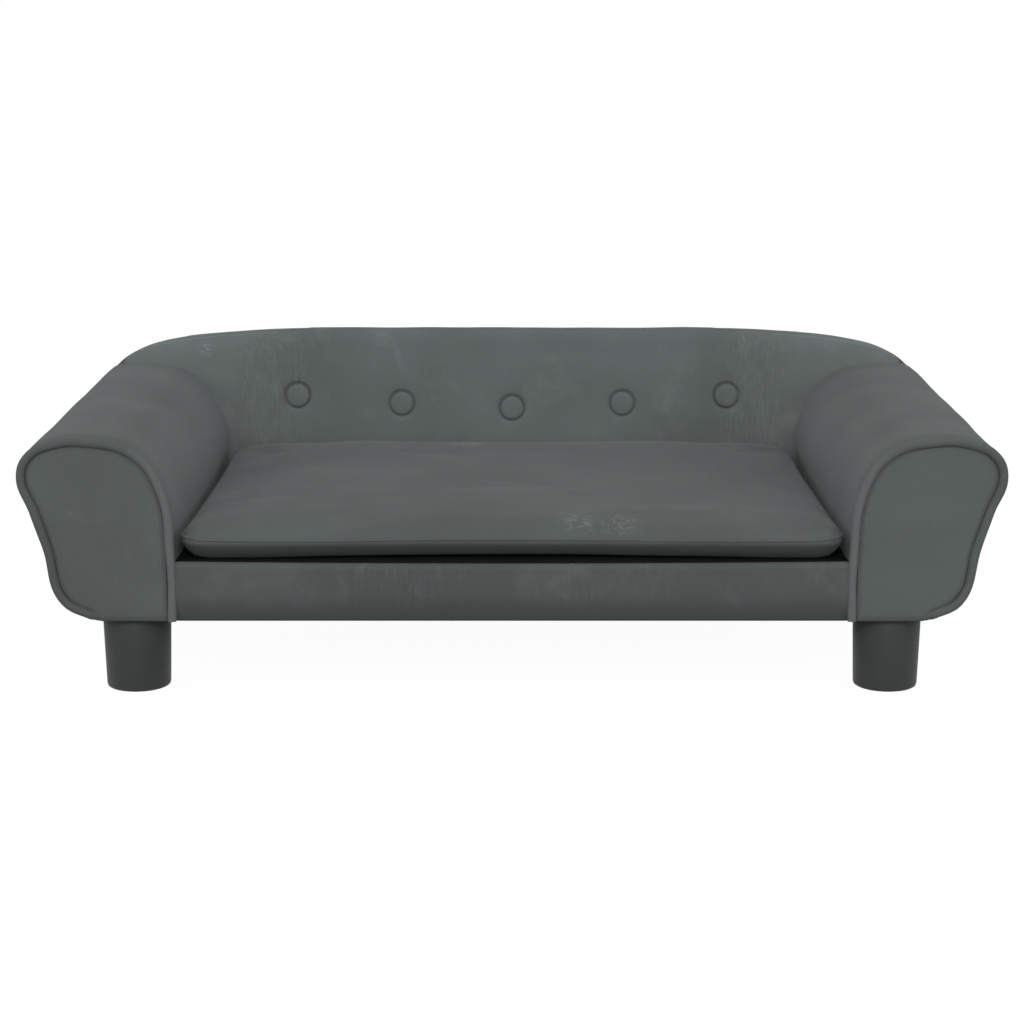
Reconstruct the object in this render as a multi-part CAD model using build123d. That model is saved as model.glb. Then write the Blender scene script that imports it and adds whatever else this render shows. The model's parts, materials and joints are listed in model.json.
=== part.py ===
from build123d import *
import os
from itertools import pairwise
from math import cos, radians, sin, sqrt

# An upholstered sofa for a dog: two rolled arms, a reclined back with buttons, a loose cushion.
# Millimetres. X runs across the front, Y from the front to the rear, Z up.
# The origin is on the floor, under the middle of the sofa.

# Overall sizes
overall_width = 1000.0
overall_depth = 540.0
arm_height = 269.0
crest_rise = 42.0
arm_width = 158.0
seat_height = 141.0
leg_height = 79.0

# Covers and padding
cover_thickness = 1.5
arm_padding = 8.5
side_padding = 15.0
panel_padding = 4.5
rail_padding = 5.0
deck_padding = 5.5
dust_thickness = 0.6
piping_radius = 4.5
piping_sides = 6
panel_gap = 0.2
rail_edge_radius = 5.5
rail_flap = 66.0

# Wooden frame
board_thickness = 12.0
side_board_thickness = 9.0
shelf_thickness = 9.0
bottom_board_thickness = 12.0
wrap_thickness = 3.0
rail_thickness = 15.0
deck_thickness = 6.0
roll_height = 64.0
slat_width = 40.0
slat_height = 20.0
slat_spacing = 210.0
slat_count = 3

# Back
back_foot_depth = 52.0
crest_depth = 12.4
corner_reach = 22.0
pad_side_inset = 32.0
crest_radius = 13.0
crest_bevel = 9.5

# Buttons on the back, the dimples that they sit in and the flat ties that hold them
button_radius = 15.0
button_rise = 3.2
button_edge = 1.6
button_crown_radius = 9.0
dimple_radius = 21.0
dimple_floor_radius = 15.4
dimple_depth = 3.0
tie_width = 3.0
tie_thickness = 1.0
tie_hold = 2.0

# Loose cushion
cushion_gap = 0.3
cushion_side_gap = 7.0
cushion_front_gap = 3.0
cushion_rear_gap = 9.5
cushion_edge_height = 20.5
cushion_crown = 17.0
cushion_corner = 28.0
cushion_rear_corner = 44.0
cushion_tuck = 14.0
cushion_skin = 1.2
corner_sides = 6

# Zip in the cushion's rear side
zip_length = 440.0
tape_width = 12.0
tape_thickness = 0.8
teeth_width = 5.0
teeth_height = 1.4
slider_length = 11.0
slider_width = 9.0
slider_plate = 1.0
slider_lip = 1.2
crown_length = 6.0
crown_width = 2.0
crown_bar = 0.9
crown_opening = 1.6
pull_length = 16.0
pull_width = 5.0
pull_thickness = 1.0
pull_rail = 1.0
pull_window = 4.8
zip_clearance = 0.3

# Legs and what holds them
leg_top_radius = 35.25
leg_foot_radius = 33.0
leg_edge = 1.5
leg_from_front = 51.0
block_width = 54.0
block_depth = 12.0
block_height = 30.0
bolt_radius = 4.0
bolt_in_leg = 28.0
bolt_plate_side = 30.0
bolt_plate_thickness = 3.0
hole_clearance = 0.1

# Staples in the frame
staple_width = 10.0
staple_wire = 1.6
rail_staple_length = 32.0
front_staple_length = 30.0
back_staple_length = 20.0
staple_margin = 14.0

# One overrun for every cut
overrun = 20.0

# Section of an arm, as shares of its width and of its height above the legs.
# It starts half way up the inner side, goes over the roll and ends under the outer side.
arm_section_shares = [
    (0.0, 0.321),
    (0.073, 0.755),
    (0.236, 0.929),
    (0.5525, 1.0),
    (0.83, 0.975),
    (1.0, 0.8),
    (0.918, 0.584),
    (0.851, 0.4105),
    (0.7437, 0.1),
    (0.526, 0.0),
]
widest_share = 5

# How far into an arm its legs stand, as a share of the arm's width
leg_place_share = 0.3006

# Crest of the back, as shares of half the width and of the height above the widest place
crest_shares = [(0.47, 1.0), (0.826, 0.828), (0.988, 0.2225)]

# Flat middle of the pad, and the corners where it bends forward, as shares of half the width
flat_share = 0.51
corner_width_share = 0.18

# How the pad bends forward at its corners: across, and forwards, both as shares
corner_shares = [(0.0, 0.0), (0.25, 0.122), (0.5, 0.5), (0.75, 0.878), (1.0, 1.0)]

# Buttons, as shares of half the seat's width and of the back's height above the seat
button_shares = [(-0.757, 0.532), (-0.389, 0.476), (0.0, 0.444), (0.389, 0.476), (0.757, 0.532)]

# Cushion levels: height in shares of the edge or of the crown, inset in shares of its reach
cushion_edge_shares = [(0.0, 1.0), (0.25, 0.25), (0.7, 0.0)]
cushion_crown_shares = [(0.0, 0.02), (0.45, 0.1), (0.8, 0.38), (1.0, 1.0)]
corner_growth_share = 0.2
cushion_reach_share = 0.278
cushion_draw_share = 0.0065

# Places along a side of the cushion, and how far each is drawn in, as a share of the most
draw_shares = [(0.25, 0.75), (0.5, 1.0), (0.75, 0.75)]

# Places that several pieces share
half_width = overall_width / 2
back_height = arm_height + crest_rise
front = -overall_depth / 2
rear = overall_depth / 2
base = leg_height
arm_inner = half_width - arm_width
frame_front = front + 2 * piping_radius
frame_rear = rear - cover_thickness - board_thickness
board_rear = rear - cover_thickness
floor_level = base + dust_thickness
deck_top = seat_height - cover_thickness - deck_padding
side_board_in = arm_inner + cover_thickness + side_padding
side_board_out = side_board_in + side_board_thickness
shelf_level = arm_height - roll_height
wood_inset = cover_thickness + arm_padding
foot_edge = arm_inner + arm_section_shares[-1][0] * arm_width
widest_level = base + arm_section_shares[widest_share][1] * (arm_height - base)
pad_foot = rear - back_foot_depth
recline = (frame_rear - crest_depth - pad_foot) / (back_height - deck_top)
leg_across = arm_inner + leg_place_share * arm_width
flat_half = flat_share * half_width
corner_width = corner_width_share * half_width
leg_places = [front + leg_from_front, frame_rear - leg_from_front + leg_edge]

parts = {}


def keep_both(name, right):
    """Keep a right-hand piece and its mirror image as one node."""
    parts[name] = Compound(children=[right, mirror(right, about=Plane.YZ)])


def block_between(low, high):
    """Box given by two opposite corners."""
    size = [b - a for a, b in zip(low, high)]
    middle = [(a + b) / 2 for a, b in zip(low, high)]
    return Pos(*middle) * Box(*size)


def window(x_low, x_high, z_low, z_high):
    """Rectangle in the front view."""
    middle = Pos((x_low + x_high) / 2, (z_low + z_high) / 2)
    return middle * Rectangle(x_high - x_low, z_high - z_low)


def between(face, near, far):
    """Solid of a front-view face, from one depth to another."""
    return extrude(Plane.XZ.offset(-near) * face, amount=near - far)


def shrink(face, distance):
    """The same outline, moved inwards."""
    return offset(face, amount=-distance, kind=Kind.INTERSECTION)


def tangent_arcs(points, direction):
    """Arcs from point to point, each tangent to the one before."""
    arcs = []
    for start, end in pairwise(points):
        arc = TangentArc(start, end, tangent=direction)
        direction = arc % 1
        arcs.append(arc)
    return arcs


def arm_points(shares):
    height = arm_height - base
    return [(arm_inner + across * arm_width, base + up * height) for across, up in shares]


def arm_section():
    """Tulip outline of the right arm, seen from the front."""
    foot = (arm_inner, base)
    points = arm_points(arm_section_shares)
    lines = [Line(foot, points[0]), Line(points[-1], foot)]
    return make_face(lines + tangent_arcs(points, (0, 1)))


def back_section():
    """Outline of the whole back: arched crest, shoulders, and the arms' outer sides."""
    rise = back_height - widest_level
    crest = [(across * half_width, widest_level + up * rise) for across, up in crest_shares]
    points = crest + arm_points(arm_section_shares[widest_share:])
    lines = [Line((0, base), (0, back_height)), Line((0, back_height), points[0])]
    lines.append(Line(points[-1], (0, base)))
    half = make_face(lines + tangent_arcs(points, (1, 0)))
    return half + mirror(half, about=Plane.YZ)


arm_face = arm_section()
arm_under_cover = shrink(arm_face, cover_thickness)
arm_wood = shrink(arm_face, wood_inset)
arm_lining = shrink(arm_face, wood_inset + wrap_thickness)
back_face = back_section()
back_under_cover = shrink(back_face, cover_thickness)
back_wood = shrink(back_face, wood_inset)

above_shelf = window(0, half_width + overrun, shelf_level, arm_height + overrun)
outer_side = window(foot_edge, half_width + overrun, base - overrun, shelf_level)
both_arms = between(arm_face, front, frame_rear)
both_arms += mirror(both_arms, about=Plane.YZ)


def staples(places, outwards, along, length):
    """Staples driven in flush at the places, with their crowns lying along a direction."""
    wire = staple_wire
    whole = block_between(
        (-staple_width / 2, -wire / 2, -length), (staple_width / 2, wire / 2, 0)
    )
    gap = block_between(
        (wire - staple_width / 2, -wire, -length), (staple_width / 2 - wire, wire, -wire)
    )
    planes = [Plane(origin=place, x_dir=along, z_dir=outwards) for place in places]
    return [plane * (whole - gap) for plane in planes]


def rail_staples():
    """Staples through the right arm's side board into the ends of the rails."""
    depths = [frame_front + rail_thickness / 2, frame_rear - rail_thickness / 2]
    levels = [floor_level + staple_margin, deck_top - staple_margin]
    places = [(side_board_out, y, z) for y in depths for z in levels]
    return staples(places, (1, 0, 0), (0, 0, 1), rail_staple_length)


def front_staples():
    """Staples through the right arm's front board into the bottom board and the shelf."""
    low = base + bottom_board_thickness / 2
    high = shelf_level + shelf_thickness / 2
    middle = (side_board_out + foot_edge) / 2
    places = [(middle, low), (side_board_out + staple_margin, high)]
    places.append((foot_edge + staple_margin, high))
    places = [(x, frame_front, z) for x, z in places]
    return staples(places, (0, -1, 0), (1, 0, 0), front_staple_length)


def back_staples():
    """Staples through the back board into the right arm's rear board and the rear rail."""
    low = base + bottom_board_thickness + staple_margin
    high = shelf_level - staple_margin
    rail_level = (floor_level + deck_top) / 2
    places = [(side_board_out + staple_margin, low), (foot_edge + staple_margin, high)]
    places += [(side_board_in - staple_margin, rail_level), (slat_spacing / 2, rail_level)]
    places = [(x, board_rear, z) for x, z in places]
    return staples(places, (0, 1, 0), (1, 0, 0), back_staple_length)


def on_both_sides(solids):
    return solids + [mirror(solid, about=Plane.YZ) for solid in solids]


def cut_all(shape, tools):
    for tool in tools:
        shape -= tool
    return shape


def arm_boards(cuts):
    """The wooden box inside the right arm."""
    foot = window(side_board_out, foot_edge, base, base + 2 * wood_inset)
    beside = window(0, side_board_out, base - overrun, shelf_level)
    end_face = arm_wood + foot - beside
    front_board = between(end_face, frame_front, frame_front + board_thickness)
    rear_board = between(end_face, frame_rear - board_thickness, frame_rear)
    inside = frame_front + board_thickness
    behind = frame_rear - board_thickness
    side_face = window(side_board_in, side_board_out, base, shelf_level)
    side_board = between(side_face, frame_front, frame_rear)
    bottom_top = base + bottom_board_thickness
    bottom_face = window(side_board_out, foot_edge, base, bottom_top)
    bottom_board = between(bottom_face, inside, behind)
    shelf_band = window(side_board_in, half_width, shelf_level, shelf_level + shelf_thickness)
    shelf = between(arm_wood & shelf_band, inside, behind)
    wrap = between((arm_wood - arm_lining) & outer_side, inside, behind)
    for leg_y in leg_places:
        hole = Cylinder(bolt_radius + hole_clearance, 2 * overrun)
        bottom_board -= Pos(leg_across, leg_y, bottom_top) * hole
    keep_both("arm_front_boards", cut_all(front_board, cuts))
    keep_both("arm_rear_boards", cut_all(rear_board, cuts))
    keep_both("arm_side_boards", cut_all(side_board, cuts))
    keep_both("arm_bottom_boards", cut_all(bottom_board, cuts))
    keep_both("arm_shelves", cut_all(shelf, cuts))
    keep_both("arm_wrap_panels", wrap)
    return front_board, rear_board, shelf


def arm_padding_and_cover(wood):
    """Foam round the right arm's boards, and the sheet of cloth over it."""
    roll = between(arm_under_cover & above_shelf, frame_front, frame_rear)
    roll = cut_all(roll, wood)
    inner = window(0, side_board_in, deck_top, shelf_level)
    inner_foam = between(arm_under_cover & inner, frame_front, frame_rear)
    outer_foam = between((arm_under_cover - arm_wood) & outer_side, frame_front, frame_rear)
    hidden = window(0, side_board_in, base - overrun, deck_top)
    hidden += window(0, foot_edge, base - overrun, base + wood_inset)
    cover = between(arm_face - arm_under_cover - hidden, frame_front, frame_rear)
    keep_both("arm_roll_foams", roll)
    keep_both("arm_inner_foams", inner_foam)
    keep_both("arm_outer_foams", outer_foam)
    keep_both("arm_covers", cover)


def arm_front():
    """Padded front panel of the right arm, and the piping round it."""
    panel_inset = 2 * piping_radius + panel_gap
    foot = window(arm_inner + panel_inset, foot_edge, base, base + 2 * panel_inset)
    panel = shrink(arm_face, panel_inset) + foot
    foam_front = frame_front - panel_padding
    keep_both("arm_front_foams", between(panel, foam_front, frame_front))
    cover = between(panel, foam_front - cover_thickness, foam_front)
    keep_both("arm_front_panels", cover)
    line = Plane.XZ.offset(-front - piping_radius) * shrink(arm_face, piping_radius)
    lowest = base + piping_radius + panel_gap
    path = Wire([edge for edge in line.edges() if edge.center().Z > lowest])
    rim = RegularPolygon(piping_radius, piping_sides, rotation=180 / piping_sides)
    cord = sweep((path ^ 0) * rim, path=path)
    keep_both("arm_piping", cord)


def seat_base(cuts):
    """Rails, slats and deck between the arms."""
    low = (-side_board_in, frame_front, floor_level)
    high = (side_board_in, frame_front + rail_thickness, deck_top)
    front_rail = block_between(low, high)
    rear_rail = Pos(0, frame_rear - frame_front - rail_thickness, 0) * front_rail
    parts["front_rail"] = cut_all(front_rail, cuts)
    parts["rear_rail"] = cut_all(rear_rail, cuts)
    near = frame_front + rail_thickness
    far = frame_rear - rail_thickness
    deck_low = deck_top - deck_thickness
    slat = block_between(
        (-slat_width / 2, near, deck_low - slat_height), (slat_width / 2, far, deck_low)
    )
    middle = (slat_count - 1) / 2
    slats = [Pos((i - middle) * slat_spacing, 0, 0) * slat for i in range(slat_count)]
    parts["seat_slats"] = Compound(children=slats)
    deck = block_between((-side_board_in, near, deck_low), (side_board_in, far, deck_top))
    parts["seat_deck"] = deck


def seat_covering(pad):
    """Padding and cloth over the front rail and the deck, and the cloth underneath."""
    padding_top = deck_top + deck_padding
    deck_box = block_between(
        (-arm_inner, frame_front, deck_top), (arm_inner, frame_rear, padding_top)
    )
    rail_front = frame_front - rail_padding
    rail_box = block_between((-arm_inner, rail_front, base), (arm_inner, frame_front, padding_top))
    edge = rail_box.edges().filter_by(Axis.X).group_by(Axis.Z)[-1].sort_by(Axis.Y)[0]
    rail_foam = fillet(edge, rail_edge_radius - cover_thickness)
    parts["rail_foam"] = rail_foam
    parts["deck_foam"] = deck_box - pad
    cloth_front = rail_front - cover_thickness
    flap_end = rail_front + rail_flap
    skin = block_between((-arm_inner, cloth_front, base), (arm_inner, flap_end, seat_height))
    edge = skin.edges().filter_by(Axis.X).group_by(Axis.Z)[-1].sort_by(Axis.Y)[0]
    skin = fillet(edge, rail_edge_radius) - rail_foam - deck_box
    behind = block_between(
        (-half_width, frame_front, 0), (half_width, flap_end + overrun, padding_top)
    )
    parts["front_rail_cover"] = skin - behind
    cloth = block_between(
        (-arm_inner, flap_end, padding_top), (arm_inner, frame_rear, seat_height)
    )
    parts["deck_cloth"] = cloth - pad
    parts["dust_cloth"] = block_between(
        (-side_board_in, frame_front, base), (side_board_in, frame_rear, floor_level)
    )


def back_pad(inset):
    """Reclined pad between and above the arms, its face moved in by the inset."""
    side = half_width - pad_side_inset - inset
    near = pad_foot + inset * sqrt(1 + recline**2)
    far = rear + overrun
    points = [(0, far), (0, near)]
    for along, forward in corner_shares:
        points.append((flat_half + along * corner_width, near - forward * corner_reach))
    points += [(side, near - corner_reach), (side, far)]
    half = make_face(Polyline(*points, close=True))
    plan = Pos(0, 0, deck_top) * (half + mirror(half, about=Plane.YZ))
    rise = back_height - deck_top + overrun
    lean = extrude(plan, amount=rise, dir=(0, recline, 1))
    outline = back_face if inset == 0 else shrink(back_face, inset)
    upper = window(-half_width, half_width, deck_top, back_height + overrun)
    pad = lean & between(outline & upper, pad_foot - 2 * corner_reach, frame_rear)
    crest = [edge for edge in pad.edges() if edge.center().Z > arm_height]
    crest = [edge for edge in crest if edge.bounding_box().max.Y < frame_rear - crest_radius / 2]
    if inset == 0:
        return fillet(crest, crest_radius)
    return chamfer(crest, crest_bevel)


def button_planes():
    """Where the buttons' middles lie on the pad's face, looking out of it."""
    planes = []
    for across, up in button_shares:
        level = seat_height + up * (back_height - seat_height)
        depth = pad_foot + (level - deck_top) * recline
        outwards = (0, -1, recline)
        planes.append(Plane(origin=(across * arm_inner, depth, level), z_dir=outwards))
    return planes


def button():
    """Covered button, flat behind and rounded in front, lying on its dimple's floor."""
    rim = button_edge - dimple_depth
    disc = Pos(0, 0, (rim - dimple_depth) / 2) * Cylinder(button_radius, button_edge)
    rise = button_rise - rim
    crown = Pos(0, 0, rim + rise / 2) * Cone(button_radius, button_crown_radius, rise)
    return disc + crown


def dimple():
    """Sloping hollow round a button."""
    height = dimple_depth + overrun
    spread = (dimple_radius - dimple_floor_radius) / dimple_depth
    high = dimple_floor_radius + spread * height
    return Pos(0, 0, height / 2 - dimple_depth) * Cone(dimple_floor_radius, high, height)


def foam_hollow():
    """Round hole punched in the foam for a button."""
    height = dimple_depth + cover_thickness + overrun
    middle = Pos(0, 0, height / 2 - dimple_depth - cover_thickness)
    return middle * Cylinder(dimple_radius + cover_thickness, height)


def back(cuts):
    """Board, foam, cover, buttons and rear cover of the back."""
    foot = window(-foot_edge, foot_edge, base, base + 2 * wood_inset)
    board = between(back_wood + foot, frame_rear, board_rear)
    outer = back_pad(0) - both_arms
    inner = back_pad(cover_thickness) - both_arms
    outer += between(back_face - foot, frame_rear, board_rear)
    inner += between(back_under_cover - foot, frame_rear, board_rear)
    planes = button_planes()
    for plane in planes:
        outer -= plane * dimple()
        inner -= plane * foam_hollow()
    cover = outer - inner
    foam = inner - board
    ties = []
    buttons = []
    for plane in planes:
        floor = plane.from_local_coords((0, 0, -dimple_depth))
        tie = block_between(
            (floor.X - tie_width / 2, floor.Y - tie_hold, floor.Z - tie_thickness / 2),
            (floor.X + tie_width / 2, board_rear, floor.Z + tie_thickness / 2),
        )
        ties.append(tie)
        cover -= tie
        foam -= tie
        board -= tie
        buttons.append(plane * button() - tie)
    flat = between(window(-flat_half, flat_half, base, back_height), front, rear)
    corners = foam - flat
    parts["back_board"] = cut_all(board, cuts)
    parts["back_foam"] = Compound(children=[foam & flat] + corners.solids())
    parts["back_cover"] = cover
    parts["button_ties"] = Compound(children=ties)
    parts["back_buttons"] = Compound(children=buttons)
    parts["back_rear_cover"] = between(back_under_cover + foot, board_rear, rear)


def leg():
    """Round tapered leg with a hole for its bolt."""
    post = Solid.make_cone(leg_foot_radius, leg_top_radius, leg_height)
    rims = post.edges().filter_by(GeomType.CIRCLE).sort_by(Axis.Z)
    post = chamfer(rims[0], leg_edge)
    hole_depth = bolt_in_leg + hole_clearance
    hole = Pos(0, 0, leg_height - hole_depth / 2)
    return post - hole * Cylinder(bolt_radius + hole_clearance, hole_depth)


def legs():
    """Four legs, each with a bolt welded to a plate, and glue blocks in the arms' corners."""
    board_top = base + bottom_board_thickness
    bolts = []
    for name, leg_y in zip(["front", "rear"], leg_places):
        axis = Pos(leg_across, leg_y, 0)
        keep_both(name + "_legs", axis * leg())
        plate = Pos(0, 0, board_top + bolt_plate_thickness / 2)
        plate *= Box(bolt_plate_side, bolt_plate_side, bolt_plate_thickness)
        reach = bolt_in_leg + bottom_board_thickness
        shank = Pos(0, 0, board_top - reach / 2) * Cylinder(bolt_radius, reach)
        bolts.append(axis * (plate + shank))
    parts["leg_bolts"] = Compound(children=on_both_sides(bolts))
    near = frame_front + board_thickness
    far = frame_rear - board_thickness
    blocks = []
    for block_near in (near, far - block_depth):
        low = (side_board_out, block_near, board_top)
        high = (side_board_out + block_width, block_near + block_depth, board_top + block_height)
        blocks.append(block_between(low, high))
    parts["corner_blocks"] = Compound(children=on_both_sides(blocks))


cushion_half = arm_inner - cushion_side_gap
cushion_front = front + cushion_front_gap
cushion_rear = pad_foot - cushion_rear_gap
cushion_low = seat_height + cushion_gap
cushion_seam = cushion_low + cushion_edge_height
cushion_reach = cushion_reach_share * overall_depth


def corner_points(x, y, radius, start):
    """Points along a quarter circle."""
    angles = [radians(start + 90 * i / corner_sides) for i in range(corner_sides + 1)]
    return [(x + radius * cos(angle), y + radius * sin(angle)) for angle in angles]


def cushion_level(height, inset):
    """Plan outline of the cushion: round corners, sides and front drawn in between them."""
    half = cushion_half - inset
    growth = inset * corner_growth_share
    front_corner = cushion_corner + growth
    rear_corner = cushion_rear_corner + growth
    near = cushion_front + inset
    low = near + front_corner
    high = cushion_rear - inset - rear_corner
    front_length = 2 * (half - front_corner)
    front_draw = cushion_draw_share * front_length
    side_draw = cushion_draw_share * (high - low)
    points = []
    for along, draw in draw_shares[1:]:
        points.append(((along - 0.5) * front_length, near + draw * front_draw))
    points += corner_points(half - front_corner, low, front_corner, -90)
    for along, draw in draw_shares:
        points.append((half - draw * side_draw, low + along * (high - low)))
    points += corner_points(half - rear_corner, high, rear_corner, 0)
    points += [(-x, y) for x, y in reversed(points[1:])]
    return [(x, y, height) for x, y in points]


def cushion_form(skin):
    """Crowned cushion closed by flat faces from level to level, moved inwards by a skin."""
    levels = []
    low = cushion_low + skin
    edge = cushion_edge_height - skin
    crown = cushion_crown - skin
    for up, inset in cushion_edge_shares:
        levels.append(cushion_level(low + up * edge, skin + inset * cushion_tuck))
    for up, inset in cushion_crown_shares:
        level = cushion_level(cushion_seam + up * crown, skin + inset * cushion_reach)
        levels.append(level)
    faces = [Face(Wire.make_polygon(level)) for level in (levels[0], levels[-1])]
    for lower, upper in pairwise(levels):
        for i in range(len(lower)):
            corners = [lower[i - 1], lower[i], upper[i], upper[i - 1]]
            faces.append(Face(Wire.make_polygon(corners)))
    return Solid(Shell(faces))


def cushion():
    """Foam core and cover of the loose cushion."""
    core = cushion_form(cushion_skin)
    parts["cushion_foam"] = core
    parts["cushion_cover"] = cushion_form(0) - core


def cushion_zip():
    """Tape and teeth along the cushion's rear side, with the slider and its pull."""
    level = cushion_low + cushion_edge_height * 0.55
    tape_out = cushion_rear + tape_thickness
    teeth_out = tape_out + teeth_height
    tape = block_between(
        (-zip_length / 2, cushion_rear, level - tape_width / 2),
        (zip_length / 2, tape_out, level + tape_width / 2),
    )
    teeth = block_between(
        (-zip_length / 2, tape_out, level - teeth_width / 2),
        (zip_length / 2, teeth_out, level + teeth_width / 2),
    )
    parts["cushion_zip"] = tape + teeth
    left = -zip_length / 2
    right = left + slider_length
    plate_in = teeth_out + zip_clearance
    plate_out = plate_in + slider_plate
    plate = block_between(
        (left, plate_in, level - slider_width / 2), (right, plate_out, level + slider_width / 2)
    )
    for side in (-1, 1):
        lip_edge = level + side * slider_width / 2
        lips = sorted([lip_edge, lip_edge - side * slider_lip])
        plate += block_between(
            (left, tape_out + zip_clearance, lips[0]), (right, plate_in, lips[1])
        )
    middle = (left + right) / 2
    crown_in = plate_out + crown_opening
    crown_out = crown_in + crown_bar
    crown = block_between(
        (middle - crown_length / 2, plate_out, level - crown_width / 2),
        (middle + crown_length / 2, crown_out, level + crown_width / 2),
    )
    crown -= block_between(
        (middle - crown_length / 2 + crown_bar, plate_out, level - crown_width),
        (middle + crown_length / 2 - crown_bar, crown_in, level + crown_width),
    )
    parts["zip_slider"] = plate + crown
    pivot_x = middle - crown_length / 2 + crown_bar + zip_clearance + pull_thickness / 2
    pivot_y = plate_out + crown_opening / 2
    pivot = Pos(pivot_x, pivot_y, level)
    pin = Cylinder(pull_thickness / 2, pull_width)
    plate_start = -pull_window
    body = block_between(
        (-pull_length, -pull_thickness / 2, -pull_width / 2),
        (0, pull_thickness / 2, pull_width / 2),
    )
    body -= block_between(
        (plate_start, -pull_thickness, pull_rail - pull_width / 2),
        (pull_thickness, pull_thickness, pull_width / 2 - pull_rail),
    )
    parts["zip_pull"] = pivot * (body + pin)
    return pivot_x, pivot_y, level


right_staples = rail_staples() + front_staples() + back_staples()
frame_staples = on_both_sides(right_staples)
parts["frame_staples"] = Compound(children=frame_staples)
wood = arm_boards(right_staples)
arm_padding_and_cover(wood)
arm_front()
seat_base(frame_staples)
seat_covering(back_pad(0))
back(frame_staples)
legs()
cushion()
pull_pivot = cushion_zip()

os.makedirs("parts", exist_ok=True)
for name, shape in parts.items():
    export_step(shape, f"parts/{name}.step")
print(len(parts), "nodes; the zip pull turns about", [round(v, 3) for v in pull_pivot])
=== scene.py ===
# %% [markdown]
# # A velvet sofa for a dog
#
# The wooden frame, the foam blocks and the fixings come from the CAD model. This script dresses
# them: velvet over the arms, the back and the front rail, covered buttons, piping, a stuffed seat
# cushion and smooth legs. Everything is in metres, in the CAD model's own frame: X runs across
# the front, Y from the front to the rear, and Z up from the floor.

import json
from math import atan, cos, pi, radians, sin

import bmesh
import bpy
from mathutils import Matrix, Vector, noise
from mathutils.bvhtree import BVHTree


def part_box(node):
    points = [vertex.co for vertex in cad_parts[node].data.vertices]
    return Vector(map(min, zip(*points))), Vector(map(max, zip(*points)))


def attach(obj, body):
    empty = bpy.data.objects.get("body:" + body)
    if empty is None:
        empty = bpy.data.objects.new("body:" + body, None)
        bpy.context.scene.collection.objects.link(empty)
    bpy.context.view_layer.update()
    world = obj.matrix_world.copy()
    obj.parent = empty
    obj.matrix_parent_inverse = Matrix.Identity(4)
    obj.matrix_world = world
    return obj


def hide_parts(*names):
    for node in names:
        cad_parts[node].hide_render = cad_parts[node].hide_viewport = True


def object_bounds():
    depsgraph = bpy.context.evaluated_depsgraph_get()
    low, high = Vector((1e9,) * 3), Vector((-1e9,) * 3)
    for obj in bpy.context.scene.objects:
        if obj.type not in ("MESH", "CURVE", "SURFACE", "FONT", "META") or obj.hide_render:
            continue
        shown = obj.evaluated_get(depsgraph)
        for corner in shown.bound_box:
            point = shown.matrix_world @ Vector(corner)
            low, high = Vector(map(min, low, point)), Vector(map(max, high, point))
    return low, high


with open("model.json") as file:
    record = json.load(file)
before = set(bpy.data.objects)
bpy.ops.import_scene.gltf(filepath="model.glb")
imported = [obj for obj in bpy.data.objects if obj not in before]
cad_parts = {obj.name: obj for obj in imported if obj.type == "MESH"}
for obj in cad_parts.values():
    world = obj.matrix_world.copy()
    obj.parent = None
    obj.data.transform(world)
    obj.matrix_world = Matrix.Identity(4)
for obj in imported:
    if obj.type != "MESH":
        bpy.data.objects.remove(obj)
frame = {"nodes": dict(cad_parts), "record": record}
cad_low, cad_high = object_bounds()
mm = 0.001
print("CAD box in mm:", [round((b - a) / mm) for a, b in zip(cad_low, cad_high)])

# %% [markdown]
# ## Camera
#
# The photograph is taken from the front with a long lens, a little above the sofa. A long lens far
# away keeps the arms from spreading. The pitch decides how much of the seat shows, so it was
# matched to the seat cushion first and the distance to the width afterwards.

# %% Camera
camera_distance = 2655.3 * mm
camera_height = 701.3 * mm
camera_pitch = radians(12)

camera_data = bpy.data.cameras.new("camera")
camera_data.lens = 85
camera_data.sensor_width = 36
bpy.context.scene.view_settings.view_transform = "Standard"
camera = bpy.data.objects.new("camera", camera_data)
camera.location = (0, -camera_distance, camera_height)
camera.rotation_euler = (pi / 2 - camera_pitch, 0, 0)
bpy.context.scene.collection.objects.link(camera)
bpy.context.scene.camera = camera
print("camera looks down", round(camera_pitch * 180 / pi), "degrees")

# %% [markdown]
# ## Shader expressions
#
# Materials are node trees, and long trees are hard to read. A small class wraps one output of a
# node, so that sums and products of shader values are written as in Python, and each operator
# adds its Math node.


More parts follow.
